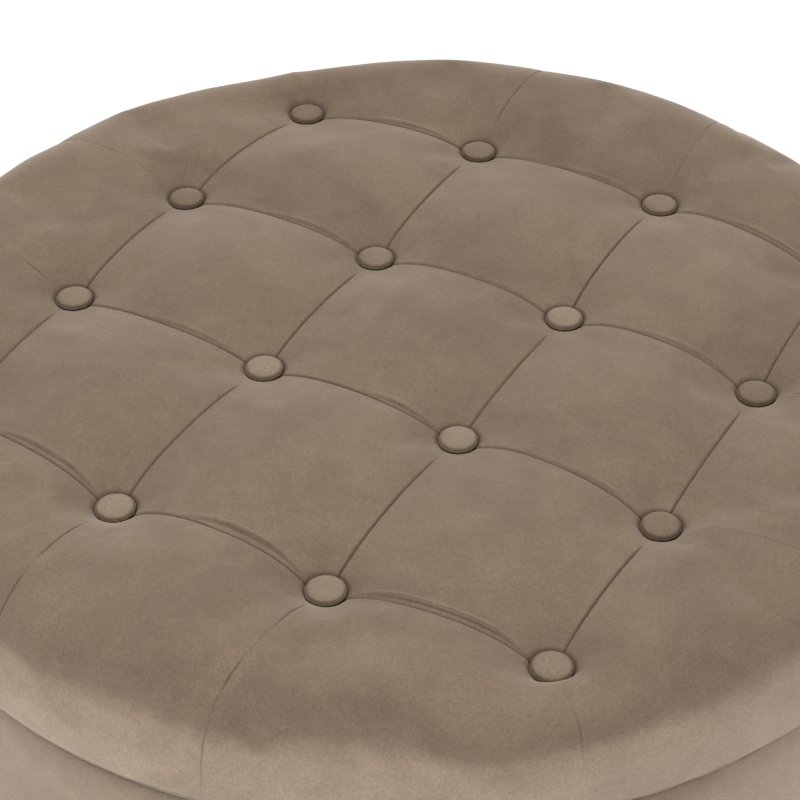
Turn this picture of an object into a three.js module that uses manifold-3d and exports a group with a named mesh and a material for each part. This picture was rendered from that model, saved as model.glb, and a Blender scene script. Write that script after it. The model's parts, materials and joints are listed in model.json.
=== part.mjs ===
// Round ottoman with storage: a button-tufted velvet lid, hinged at the back of a padded drum that
// stands on four turned wooden legs. Millimetres, +Z up; the origin is on the floor, under the
// drum's centre. +Y is the back, where the hinges are, and the lid's front edge lifts.
import * as THREE from 'three';
import { mergeVertices } from 'three/addons/utils/BufferGeometryUtils.js';
import Module from 'manifold-3d';

const wasm = await Module();
wasm.setup();

// Driving dimensions
const GAP = 0.3; // clearance between pieces that touch
const ROUND = 40; // facets round the large pieces
const DIMPLE_ROUND = 8; // facets round each button's dimple

const HEIGHT = 440; // floor to the tops of the lid's pillows
const LID_R = 305; // outside of the lid's velvet
const LID_BOTTOM = 369; // underside of the lid
const SHOULDER_R = 44; // rolled edge of the cushion
const LID_EDGE_R = 3; // turn of the velvet round the lid board
const LID_BOARD_T = 12;
const COVER_T = 2; // velvet with its backing
const LID_HEM_R = 262; // inner edge of the velvet stapled under the lid
const LID_LINING_T = 1;

const PITCH = 126; // button spacing, a square grid
const ROWS = 4;
// Tied by hand, each button sits a little off the grid, in X and Y, and the corner ones are drawn in.
// Rows from the back, columns from the left.
const TIE_DRIFT = [
  [[12, -15], [1, 2], [-3, 6], [-11, -12]],
  [[0, -6], [4, -1], [-1, 3], [-7, -4]],
  [[2, 5], [4, 6], [-1, 7], [-6, 0]],
  [[10, 12], [1, -2], [-1, 1], [-8, 11]],
];
const BUTTON_R = 11;
const BUTTON_TOP = 419;
const BUTTON_RIM = 415.5; // where the dome meets the flat back's edge
const BUTTON_BACK = 413;
const TWINE_R = 1.5;
const TWINE_KNOT_R = 3.5;

const DRUM_R = 296; // outside of the drum's velvet
const DRUM_TOP = 363.7;
const DRUM_BOTTOM = 95;
const VELVET_T = 1.8;
const WALL_FOAM_T = 6;
const WALL_BOARD_T = 3;
const BOARD_T = 15; // top ring and storage floor
const STORE_R = 252; // inner radius of the top ring
const TOP_HEM_R = 262; // where the drum's velvet ends on top of the ring
const BOTTOM_HEM_R = 270;
const LINING_T = 1.5;
const FLOOR_LINER_T = 2;
const DUST_COVER_T = 1;
const POST_DEPTH = 24;
const POST_WIDTH = 40;
const POST_OUT_R = 282;

const LEG_PLACE_R = 215; // legs' distance from the centre
const LEG_TOP_R = 22;
const LEG_FOOT_R = 13;
const GLIDE_T = 2.7;
const GLIDE_R = 11;
const BOLT_R = 4; // M8 hanger bolt
const BOLT_IN_LEG = 30;
const BOLT_IN_BOARD = 14;

const HINGE_X = 60; // hinge centres, to each side of the middle
const HINGE_LENGTH = 45;
const HINGE_Y = 300.7;
const HINGE_Z = 366.35;
const KNUCKLE_R = 2.35;
const KNUCKLE_BORE_R = 1.5;
const PIN_R = 1.2;
const LEAF_T = 1.3;
const LEAF_END_Y = 257;
const MIDDLE_KNUCKLE = 17;
const SCREW_X = 12; // screws, to each side of the hinge's centre
const SCREW_Y = 266;
const SCREW_R = 1.6;
const SCREW_HEAD_R = 3.2;
const SCREW_LENGTH = 12;

const BUMPER_R = 6;
const BUMPER_PLACE_R = 279;

// Materials
function material(name, color, roughness, metalness = 0) {
  return new THREE.MeshStandardMaterial({ name, color, roughness, metalness });
}
const velvet = material('velvet', 0x8a7867, 0.95);
const foam = material('foam', 0xe6dcc0, 0.95);
const board = material('board', 0xb08a5c, 0.8);
const lining = material('lining', 0x2c2a28, 0.9);
const twine = material('button_velvet', 0x94816f, 0.95);
const legWood = material('leg_wood', 0x4a2f1f, 0.45);
const steel = material('steel', 0xb9b9b6, 0.35, 1);
const plastic = material('plastic', 0x1d1d1d, 0.6);
const rubber = material('rubber', 0x222222, 0.9);

// Solids
function toSolid(geometry) {
  const plain = geometry.clone();
  plain.deleteAttribute('normal');
  plain.deleteAttribute('uv');
  const merged = mergeVertices(plain, 1e-4);
  const mesh = new wasm.Mesh({
    numProp: 3,
    vertProperties: merged.attributes.position.array,
    triVerts: new Uint32Array(merged.index.array),
  });
  return new wasm.Manifold(mesh);
}

function toGeometry(solid) {
  const mesh = solid.getMesh();
  const geometry = new THREE.BufferGeometry();
  geometry.setAttribute('position', new THREE.BufferAttribute(mesh.vertProperties, 3));
  geometry.setIndex(new THREE.BufferAttribute(mesh.triVerts, 1));
  const flat = geometry.toNonIndexed();
  flat.computeVertexNormals();
  return flat;
}

// A solid of revolution about +Z, from [radius, height] points
function turned(points, segments = ROUND) {
  const profile = points.map(([r, z]) => new THREE.Vector2(r, z));
  return new THREE.LatheGeometry(profile, segments).rotateX(Math.PI / 2);
}

// A ring or tube of rectangular section
function tube(inner, outer, low, high, segments = ROUND) {
  return turned([[inner, low], [outer, low], [outer, high], [inner, high], [inner, low]], segments);
}

function disc(radius, low, high, segments = ROUND) {
  return turned([[0, low], [radius, low], [radius, high], [0, high]], segments);
}

function arc(centreR, centreZ, radius, from, to, steps) {
  const points = [];
  for (let i = 0; i <= steps; i += 1) {
    const angle = THREE.MathUtils.degToRad(from + ((to - from) * i) / steps);
    points.push([centreR + radius * Math.cos(angle), centreZ + radius * Math.sin(angle)]);
  }
  return points;
}

const group = new THREE.Group();

function add(name, geometry, finish, parent = group) {
  const mesh = new THREE.Mesh(geometry, finish);
  mesh.name = name;
  parent.add(mesh);
  return mesh;
}

// Hinge screws stand in both the drum's ring and the lid's board, one above the other
const screwPlaces = [];
for (const side of [-1, 1]) {
  for (const step of [-1, 1]) screwPlaces.push([side * HINGE_X + step * SCREW_X, SCREW_Y]);
}

function withHoles(solid, places, radius, low, high, segments = 12) {
  let result = solid;
  for (const [x, y] of places) {
    result = result.subtract(toSolid(disc(radius, low, high, segments).translate(x, y, 0)));
  }
  return result;
}

// Buttons, named by row (1 = back) and column (1 = left)
const buttons = [];
for (let row = 0; row < ROWS; row += 1) {
  for (let column = 0; column < ROWS; column += 1) {
    const middle = (ROWS - 1) / 2;
    const [driftX, driftY] = TIE_DRIFT[row][column];
    buttons.push({
      name: `tuft_button_r${row + 1}c${column + 1}`,
      x: (column - middle) * PITCH + driftX,
      y: (middle - row) * PITCH + driftY,
    });
  }
}
const buttonPlaces = buttons.map(({ x, y }) => [x, y]);

// Outside of the lid's cushion, or a layer that lies `depth` inside it, from `low` upwards
function cushion(depth, low) {
  const radius = LID_R - depth;
  const shoulder = SHOULDER_R - depth;
  const shoulderZ = HEIGHT - SHOULDER_R;
  const points = [[0, low], [radius, low], ...arc(radius - shoulder, shoulderZ, shoulder, 0, 90, 4)];
  if (depth === 0) {
    points.splice(1, 1, ...arc(LID_R - LID_EDGE_R, low + LID_EDGE_R, LID_EDGE_R, -90, 0, 1));
  }
  points.push([0, HEIGHT - depth]);
  let solid = toSolid(turned(points));
  for (const [x, y] of buttonPlaces) {
    solid = solid.subtract(toSolid(dimple(depth).translate(x, y, 0)));
  }
  return solid;
}

// The space that one button draws down into the cushion
function dimple(depth) {
  const bottom = BUTTON_BACK - GAP - depth;
  return turned(
    [
      [0, bottom],
      [BUTTON_R + 2 + depth, bottom],
      [BUTTON_R + 8 + depth, BUTTON_TOP + 6 - depth],
      [BUTTON_R + 28 + depth, HEIGHT + 2 - depth],
      [0, HEIGHT + 20],
    ],
    DIMPLE_ROUND,
  );
}

// Lid
const lid = new THREE.Group();
group.add(lid);

const boardLow = LID_BOTTOM + COVER_T + GAP;
const boardHigh = boardLow + LID_BOARD_T;
const lidInner = LID_R - COVER_T - GAP;
const twineHole = TWINE_R + GAP;
const screwHole = SCREW_R + GAP;

let cover = cushion(0, LID_BOTTOM).subtract(cushion(COVER_T, LID_BOTTOM + COVER_T));
cover = cover.subtract(toSolid(disc(LID_HEM_R, LID_BOTTOM - 5, boardLow)));
cover = withHoles(cover, buttonPlaces, twineHole, boardHigh, HEIGHT, 8);
cover = withHoles(cover, screwPlaces, screwHole, LID_BOTTOM - 5, boardLow, 8);
add('lid_velvet_cover', toGeometry(cover), velvet, lid);

let pad = cushion(COVER_T + GAP, boardHigh + GAP);
pad = withHoles(pad, buttonPlaces, twineHole, boardLow, HEIGHT, 8);
add('lid_foam_pad', toGeometry(pad), foam, lid);

let lidBoard = toSolid(disc(lidInner, boardLow, boardHigh));
lidBoard = withHoles(lidBoard, buttonPlaces, twineHole, boardLow - 5, boardHigh + 5, 8);
lidBoard = withHoles(lidBoard, screwPlaces, screwHole, boardLow - 5, boardLow + SCREW_LENGTH - 3, 8);
add('lid_board', toGeometry(lidBoard), board, lid);

add('lid_lining', disc(LID_HEM_R - GAP, LID_BOTTOM, LID_BOTTOM + LID_LINING_T), lining, lid);

// A covered button with its tufting twine, knotted under the board
function tuftButton() {
  const knotLow = LID_BOTTOM + LID_LINING_T + GAP;
  return turned(
    [
      [0, knotLow],
      [TWINE_KNOT_R, knotLow],
      [TWINE_KNOT_R, boardLow - GAP],
      [TWINE_R, boardLow - GAP],
      [TWINE_R, BUTTON_BACK],
      [BUTTON_R - 1, BUTTON_BACK],
      [BUTTON_R, BUTTON_RIM],
      [BUTTON_R * 0.6, BUTTON_TOP - 0.8],
      [0, BUTTON_TOP],
    ],
    10,
  );
}
for (const { name, x, y } of buttons) {
  add(name, tuftButton(), twine, lid).position.set(x, y, 0);
}

// Drum
const drum = new THREE.Group();
group.add(drum);

const ringHigh = DRUM_TOP - VELVET_T - GAP;
const ringLow = ringHigh - BOARD_T;
const floorLow = DRUM_BOTTOM + VELVET_T + GAP;
const floorHigh = floorLow + BOARD_T;
const foamOut = DRUM_R - VELVET_T - GAP;
const wallOut = foamOut - WALL_FOAM_T - GAP;
const wallIn = wallOut - WALL_BOARD_T;
const frameOut = wallIn - GAP;

const sleeveIn = DRUM_R - VELVET_T;
const sleeve = turned([
  [BOTTOM_HEM_R, DRUM_BOTTOM],
  [DRUM_R, DRUM_BOTTOM],
  [DRUM_R, DRUM_TOP - 1.5],
  [DRUM_R - 1.5, DRUM_TOP],
  [TOP_HEM_R, DRUM_TOP],
  [TOP_HEM_R, DRUM_TOP - VELVET_T],
  [sleeveIn, DRUM_TOP - VELVET_T],
  [sleeveIn, DRUM_BOTTOM + VELVET_T],
  [BOTTOM_HEM_R, DRUM_BOTTOM + VELVET_T],
  [BOTTOM_HEM_R, DRUM_BOTTOM],
]);
const sleeveSolid = withHoles(toSolid(sleeve), screwPlaces, screwHole, ringHigh, DRUM_TOP + 5, 8);
add('drum_velvet_sleeve', toGeometry(sleeveSolid), velvet, drum);

add('wall_foam_wrap', tube(wallOut + GAP, foamOut, floorLow, ringHigh), foam, drum);
add('wall_fibreboard', tube(wallIn, wallOut, floorLow, ringHigh), board, drum);

const ring = toSolid(tube(STORE_R, frameOut, ringLow, ringHigh));
const ringDrilled = withHoles(ring, screwPlaces, screwHole, ringHigh - SCREW_LENGTH, DRUM_TOP, 8);
add('top_ring', toGeometry(ringDrilled), board, drum);

const legPlaces = [45, 135, 225, 315].map((degrees) => {
  const angle = THREE.MathUtils.degToRad(degrees);
  return [LEG_PLACE_R * Math.cos(angle), LEG_PLACE_R * Math.sin(angle)];
});
const boltHole = BOLT_R + GAP;
const floorSolid = toSolid(disc(frameOut, floorLow, floorHigh));
const floorDrilled = withHoles(floorSolid, legPlaces, boltHole, floorLow - 5, floorHigh + 5);
add('storage_floor_board', toGeometry(floorDrilled), board, drum);

// Posts glued between the storage floor and the top ring
for (const [name, turn] of [['right', 0], ['back', 90], ['left', 180], ['front', 270]]) {
  const height = ringLow - floorHigh - 2 * GAP;
  const holder = new THREE.Group();
  holder.rotation.z = THREE.MathUtils.degToRad(turn);
  drum.add(holder);
  const post = add(`wall_post_${name}`, new THREE.BoxGeometry(POST_DEPTH, POST_WIDTH, height), board, holder);
  post.position.set(POST_OUT_R - POST_DEPTH / 2, 0, floorHigh + GAP + height / 2);
}

// The lining hangs from a hem on top of the ring
const liningOut = STORE_R - GAP;
const liningIn = liningOut - LINING_T;
const liningLow = floorHigh + GAP;
add(
  'storage_lining',
  turned([
    [liningIn, liningLow],
    [liningOut, liningLow],
    [liningOut, ringHigh + GAP],
    [TOP_HEM_R - GAP, ringHigh + GAP],
    [TOP_HEM_R - GAP, ringHigh + GAP + LINING_T],
    [liningIn, ringHigh + GAP + LINING_T],
    [liningIn, liningLow],
  ]),
  lining,
  drum,
);
add('storage_floor_liner', disc(liningIn - GAP, liningLow, liningLow + FLOOR_LINER_T), lining, drum);

const dustHigh = floorLow - GAP;
const dust = toSolid(disc(BOTTOM_HEM_R - GAP, dustHigh - DUST_COVER_T, dustHigh));
const dustDrilled = withHoles(dust, legPlaces, boltHole, DRUM_BOTTOM, floorLow);
add('dust_cover', toGeometry(dustDrilled), lining, drum);

// Legs, each with its hanger bolt and its glide
const legTop = dustHigh - DUST_COVER_T - GAP;
const legFoot = GLIDE_T + GAP;
const nailTop = 12;
const nailR = 2;
function leg() {
  return turned(
    [
      [0, nailTop + GAP],
      [nailR + GAP, nailTop + GAP],
      [nailR + GAP, legFoot],
      [LEG_FOOT_R - 1, legFoot],
      [LEG_FOOT_R, legFoot + 1],
      [LEG_TOP_R, legTop - 8],
      [LEG_TOP_R, legTop - 1],
      [LEG_TOP_R - 1, legTop],
      [boltHole, legTop],
      [boltHole, legTop - BOLT_IN_LEG - GAP],
      [0, legTop - BOLT_IN_LEG - GAP],
    ],
    16,
  );
}
const legNames = ['back_right', 'back_left', 'front_left', 'front_right'];
legNames.forEach((place, i) => {
  const holder = new THREE.Group();
  holder.position.set(legPlaces[i][0], legPlaces[i][1], 0);
  drum.add(holder);
  add(`leg_${place}`, leg(), legWood, holder);
  add(`leg_bolt_${place}`, disc(BOLT_R, legTop - BOLT_IN_LEG, floorLow + BOLT_IN_BOARD, 12), steel, holder);
  const glide = turned(
    [[0, 0], [GLIDE_R - 0.7, 0], [GLIDE_R, 0.7], [GLIDE_R, GLIDE_T], [nailR, GLIDE_T], [nailR, nailTop], [0, nailTop]],
    12,
  );
  add(`leg_glide_${place}`, glide, plastic, holder);
});

// Hinges: a leaf screwed on the drum's rim, a leaf screwed under the lid, and a pin
const baseLeafLow = DRUM_TOP + GAP;
const lidLeafHigh = LID_BOTTOM - GAP;
const sideKnuckle = (HINGE_LENGTH - MIDDLE_KNUCKLE) / 2 - GAP;

function alongX(radius, length, segments = 12) {
  return toSolid(new THREE.CylinderGeometry(radius, radius, length, segments).rotateZ(Math.PI / 2));
}

function screwShape(up) {
  const tip = up * SCREW_LENGTH;
  const points = [[0, 0], [SCREW_HEAD_R, 0], [SCREW_R, up * LEAF_T], [SCREW_R, tip - up * 2], [0, tip]];
  return turned(up > 0 ? points : points.reverse(), 10);
}

// One leaf, centred on x = 0 at the hinge axis, with its knuckles and countersunk holes
function leaf(low, knuckles, up) {
  const depth = HINGE_Y - LEAF_END_Y;
  const plate = new THREE.BoxGeometry(HINGE_LENGTH, depth, LEAF_T);
  let solid = toSolid(plate.translate(0, -depth / 2, low + LEAF_T / 2 - HINGE_Z));
  const wide = KNUCKLE_R + GAP;
  for (const { at, length, own } of knuckles) {
    if (own) solid = solid.add(alongX(KNUCKLE_R, length).translate([at, 0, 0]));
    else solid = solid.subtract(alongX(wide, length + 2 * GAP).translate([at, 0, 0]));
  }
  solid = solid.subtract(alongX(KNUCKLE_BORE_R, HINGE_LENGTH + 10));
  const face = (up > 0 ? low : low + LEAF_T) - HINGE_Z;
  for (const step of [-1, 1]) {
    const sunk = turned(
      up > 0
        ? [[0, -1], [SCREW_HEAD_R + 1.2, -1], [screwHole, LEAF_T], [screwHole, 4], [0, 4]]
        : [[0, -4], [screwHole, -4], [screwHole, -LEAF_T], [SCREW_HEAD_R + 1.2, 1], [0, 1]],
      10,
    );
    solid = solid.subtract(toSolid(sunk.translate(step * SCREW_X, SCREW_Y - HINGE_Y, face)));
  }
  return toGeometry(solid);
}

const outerAt = (HINGE_LENGTH - sideKnuckle) / 2;
function knuckleRow(ownOuter) {
  return [
    { at: -outerAt, length: sideKnuckle, own: ownOuter },
    { at: 0, length: MIDDLE_KNUCKLE, own: !ownOuter },
    { at: outerAt, length: sideKnuckle, own: ownOuter },
  ];
}

for (const [side, name] of [[-1, 'left'], [1, 'right']]) {
  for (const [parent, lower] of [[drum, true], [lid, false]]) {
    const holder = new THREE.Group();
    holder.position.set(side * HINGE_X, HINGE_Y, HINGE_Z);
    parent.add(holder);
    const part = lower ? 'base' : 'lid';
    const low = lower ? baseLeafLow : lidLeafHigh - LEAF_T;
    const up = lower ? -1 : 1;
    add(`hinge_${part}_leaf_${name}`, leaf(low, knuckleRow(lower), up), steel, holder);
    if (lower) {
      const pin = new THREE.CylinderGeometry(PIN_R, PIN_R, HINGE_LENGTH, 12).rotateZ(Math.PI / 2);
      add(`hinge_pin_${name}`, pin, steel, holder);
    }
    for (const step of [-1, 1]) {
      const which = step < 0 ? 'a' : 'b';
      const screw = add(`hinge_${part}_screw_${name}_${which}`, screwShape(up), steel, holder);
      const face = up > 0 ? low : low + LEAF_T;
      screw.position.set(step * SCREW_X, SCREW_Y - HINGE_Y, face - HINGE_Z);
    }
  }
}

// Rubber bumpers on the rim, under the front of the lid
for (const [name, degrees] of [['left', 230], ['right', 310]]) {
  const angle = THREE.MathUtils.degToRad(degrees);
  const high = LID_BOTTOM - GAP;
  const bumper = add(`bumper_${name}`, turned(
    [[0, baseLeafLow], [BUMPER_R, baseLeafLow], [BUMPER_R, high - 1], [BUMPER_R - 1, high], [0, high]],
    16,
  ), rubber, drum);
  bumper.position.set(BUMPER_PLACE_R * Math.cos(angle), BUMPER_PLACE_R * Math.sin(angle), 0);
}

export default group;
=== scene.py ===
import json
import math
import random

import bmesh
import bpy
import numpy as np
from mathutils import Matrix, Vector


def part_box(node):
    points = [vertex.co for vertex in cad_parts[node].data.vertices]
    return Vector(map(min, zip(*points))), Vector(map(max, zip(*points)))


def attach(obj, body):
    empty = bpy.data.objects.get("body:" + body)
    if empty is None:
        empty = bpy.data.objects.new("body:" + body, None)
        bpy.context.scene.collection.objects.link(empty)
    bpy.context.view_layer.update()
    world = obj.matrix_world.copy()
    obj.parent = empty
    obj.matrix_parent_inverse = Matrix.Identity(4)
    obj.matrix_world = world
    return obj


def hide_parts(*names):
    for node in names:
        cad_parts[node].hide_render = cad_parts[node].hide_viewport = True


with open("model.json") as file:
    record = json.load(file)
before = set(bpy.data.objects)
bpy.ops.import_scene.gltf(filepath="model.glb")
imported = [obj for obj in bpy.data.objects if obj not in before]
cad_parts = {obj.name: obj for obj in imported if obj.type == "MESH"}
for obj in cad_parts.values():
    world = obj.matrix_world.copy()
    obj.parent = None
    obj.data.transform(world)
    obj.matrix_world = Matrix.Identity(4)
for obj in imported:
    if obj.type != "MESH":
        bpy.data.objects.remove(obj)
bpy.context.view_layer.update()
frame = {"nodes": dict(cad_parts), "record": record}

# ---------------------------------------------------------------- sizes, in metres
MM = 0.001
LID_LOW, LID_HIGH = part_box("lid_velvet_cover")
LID_R = LID_HIGH[0]
LID_TOP = LID_HIGH[2]
LID_BOTTOM = LID_LOW[2]
SHOULDER_R = 44 * MM
EDGE_R = 2.5 * MM               # turn of the velvet round the lid board
HEM_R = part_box("lid_lining")[1][0] + 0.4 * MM
FLAT_R = LID_R - SHOULDER_R
ARC_END = FLAT_R + SHOULDER_R * math.pi / 2
SIDE = LID_TOP - SHOULDER_R - LID_BOTTOM - EDGE_R
EDGE_END = ARC_END + SIDE + EDGE_R * math.pi / 2
SKIN_END = EDGE_END + LID_R - EDGE_R - HEM_R

BUTTON_LOW, BUTTON_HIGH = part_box("tuft_button_r2c2")
BUTTON_R = (BUTTON_HIGH[0] - BUTTON_LOW[0]) / 2
BUTTON_TOP = BUTTON_HIGH[2]
ROWS = 4
PITCH = 126 * MM

# Depths below the cushion's untufted surface
RIM_DROP = 2.6 * MM                          # a button's rim below its top
PINNED = LID_TOP - BUTTON_TOP + RIM_DROP + 0.6 * MM   # where the skin meets a button's rim
REACH = 114 * MM                             # how far a crease pulls the pillow down
# How high each crease rises above the button tops at mid-span, in mm
ROW_RISE = [[6, 5.5, 8], [6, 8, 10], [4.5, 7, 10.5], [10, 14, 10.5]]
COLUMN_RISE = [[6, 5, 5], [6, 3.5, 8], [7, 3.5, 6], [6, 3, 5]]
# Width, in mm, strength and start, as a share of the span, of the folded pleat behind each row crease
PLEAT = [[2.2, 1.8, 2.4], [2.4, 1.5, 2], [2, 2.6, 1.6], [3.6, 4.6, 3.4]]
PLEAT_STRENGTH = [[0.7, 0.4, 0.6], [0.9, 0.3, 0.5], [0.6, 1, 0.4], [1, 1.4, 1.3]]
PLEAT_START = [[0.3, 0.4, 0.3], [0.4, 0.5, 0.3], [0.35, 0.45, 0.4], [0.25, 0.3, 0.08]]
FUNNEL = 20 * MM                             # how fast the skin rises away from a button
STEEPER_AT_BACK, STEEPER_AT_FRONT = 1.6, -0.35   # how much faster, as a share, beyond outer buttons
GROOVE = 0.3 * MM                            # width and depth of the thin line of a crease
GROOVE_DEPTH = 3.2 * MM
GAP_DEPTH = 1.6 * MM                         # how far the skin dips under a button's rim
SETTLED = 1.6 * MM                           # how far the shoulder of the pad has gone down
SAG = 2.6 * MM                               # how much further it has gone beside the back left button
SAG_AT, SAG_SPREAD = math.radians(142), math.radians(17)

# Cloth simulation of the lid's velvet
CLOTH_STEP = 4 * MM
CLOTH_FRAMES = 20
CLOTH_SETTINGS = {
    "quality": 5, "mass": 0.15, "tension_stiffness": 12, "compression_stiffness": 12, "shear_stiffness": 5,
    "bending_stiffness": 6, "vertex_group_mass": "held", "pin_stiffness": 1,
    "shrink_min": -0.003,                    # a little more velvet than the pad's surface, as sewn
    "use_pressure": True, "uniform_pressure_force": 1.0,
}
MOST_MOVED = 5 * MM
HELD_BY_CREASE = 7 * MM
HELD_BY_BUTTON = 5 * MM


def plan_centre(node):
    """The centre of a CAD node's box, seen from above."""
    low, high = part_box(node)
    return np.array([(low[0] + high[0]) / 2, (low[1] + high[1]) / 2])


BUTTONS = [[plan_centre(f"tuft_button_r{row + 1}c{column + 1}") for column in range(ROWS)]
           for row in range(ROWS)]
ALL_BUTTONS = [centre for row in BUTTONS for centre in row]


# ---------------------------------------------------------------- small tools
def smooth(low, high, x):
    t = np.clip((np.asarray(x, float) - low) / (high - low), 0, 1)
    return t * t * (3 - 2 * t)


def waves(x, y, size, seed, count=7):
    """Smooth, repeatable noise from -1 to 1, with features about size across."""
    rng = random.Random(seed)
    total = 0
    for _ in range(count):
        turn = rng.uniform(0, math.tau)
        scale = math.tau / (size * rng.uniform(0.8, 1.7))
        phase = rng.uniform(0, math.tau)
        total = total + np.sin((x * math.cos(turn) + y * math.sin(turn)) * scale + phase)
    return total / count


def ridge(x, width):
    """A smooth bump of height 1 round x = 0."""
    return np.exp(-((x / width) ** 2))


def plan_gap(plan, centre):
    """Distances in plan from points to a centre."""
    return np.hypot(plan[..., 0] - centre[0], plan[..., 1] - centre[1])


def arc(centre, radii, start, sweep, steps):
    """Points along part of an ellipse."""
    angles = [start + sweep * k / steps for k in range(steps + 1)]
    return [(centre[0] + radii[0] * math.cos(a), centre[1] + radii[1] * math.sin(a)) for a in angles]


def mesh_piece(name, verts, faces, material, smooth_shade=True):
    mesh = bpy.data.meshes.new(name)
    mesh.from_pydata([tuple(map(float, v)) for v in verts], [], faces)
    mesh.validate()
    mesh.update()
    mesh.materials.append(material)
    mesh.polygons.foreach_set("use_smooth", [smooth_shade] * len(mesh.polygons))
    piece = bpy.data.objects.new(name, mesh)
    bpy.context.scene.collection.objects.link(piece)
    return piece


def positions(mesh):
    """Where a mesh's vertices are, one row for each."""
    places = np.empty(len(mesh.vertices) * 3)
    mesh.vertices.foreach_get("co", places)
    return places.reshape(-1, 3)


def grid_faces(rows, columns, start=0, closed=False):
    """Quads of a grid of points, its columns joined round when closed."""
    faces = []
    for i in range(rows - 1):
        for j in range(columns if closed else columns - 1):
            k = (j + 1) % columns
            a = start + i * columns
            b = a + columns
            faces.append((a + j, a + k, b + k, b + j))
    return faces


def weld(piece, distance=0.02 * MM):
    bm = bmesh.new()
    bm.from_mesh(piece.data)
    bmesh.ops.remove_doubles(bm, verts=bm.verts, dist=distance)
    bmesh.ops.recalc_face_normals(bm, faces=bm.faces)
    bm.to_mesh(piece.data)
    bm.free()
    piece.data.update()
    return piece


def turned(name, profile, material, segments=96, wobble=None, angles=None, at=(0, 0)):
    """A closed solid of revolution from (radius, height) points; wobble(angles, r, z) gives (dr, dz)."""
    if angles is None:
        angles = np.linspace(0, math.tau, segments, endpoint=False)
    rows = []
    for r, z in profile:
        radii = np.full(len(angles), float(r))
        heights = np.full(len(angles), float(z))
        if wobble and r > 0:
            change = wobble(angles, r, z)
            radii, heights = radii + change[0], heights + change[1]
        x, y = at[0] + radii * np.cos(angles), at[1] + radii * np.sin(angles)
        rows.append(np.stack([x, y, heights], 1))
    faces = grid_faces(len(profile), len(angles), closed=True)
    if profile[0] == profile[-1]:
        rows.pop()
        count = len(rows) * len(angles)
        faces = [tuple(k % count for k in face) for face in faces]
    return weld(mesh_piece(name, np.concatenate(rows), faces, material), 0.005 * MM)


def rounded(points, radius, steps=4):
    """A closed (radius, height) outline with its corners rounded."""
    result = []
    count = len(points)
    for i, point in enumerate(points):
        here = np.array(point)
        if point[0] <= 0:
            result.append(tuple(point))
            continue
        ways = [np.array(points[i - 1]) - here, np.array(points[(i + 1) % count]) - here]
        cut = min(radius, *(np.linalg.norm(way) * 0.45 for way in ways))
        ends = [here + way / np.linalg.norm(way) * cut for way in ways]
        for k in range(steps + 1):
            t = k / steps
            result.append(tuple((1 - t) ** 2 * ends[0] + 2 * t * (1 - t) * here + t * t * ends[1]))
    if points[0][0] > 0:
        result.append(result[0])
    return result


def densified(points, spacing):
    """The same outline with no step longer than spacing."""
    result = [points[0]]
    for a, b in zip(points, points[1:]):
        count = max(1, math.ceil(math.dist(a, b) / spacing))
        start, way = np.array(a), np.array(b) - np.array(a)
        result += [tuple(start + way * k / count) for k in range(1, count + 1)]
    return result


def joined(name, pieces):
    """One piece out of several closed ones."""
    keep = pieces[0]
    with bpy.context.temp_override(active_object=keep, selected_editable_objects=pieces):
        bpy.ops.object.join()
    keep.name = name
    return keep


def placed(piece, body, nodes):
    """Says which body a piece rides on, which CAD nodes it stands for."""
    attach(piece, body)
    if nodes:
        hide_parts(*nodes)


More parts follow.
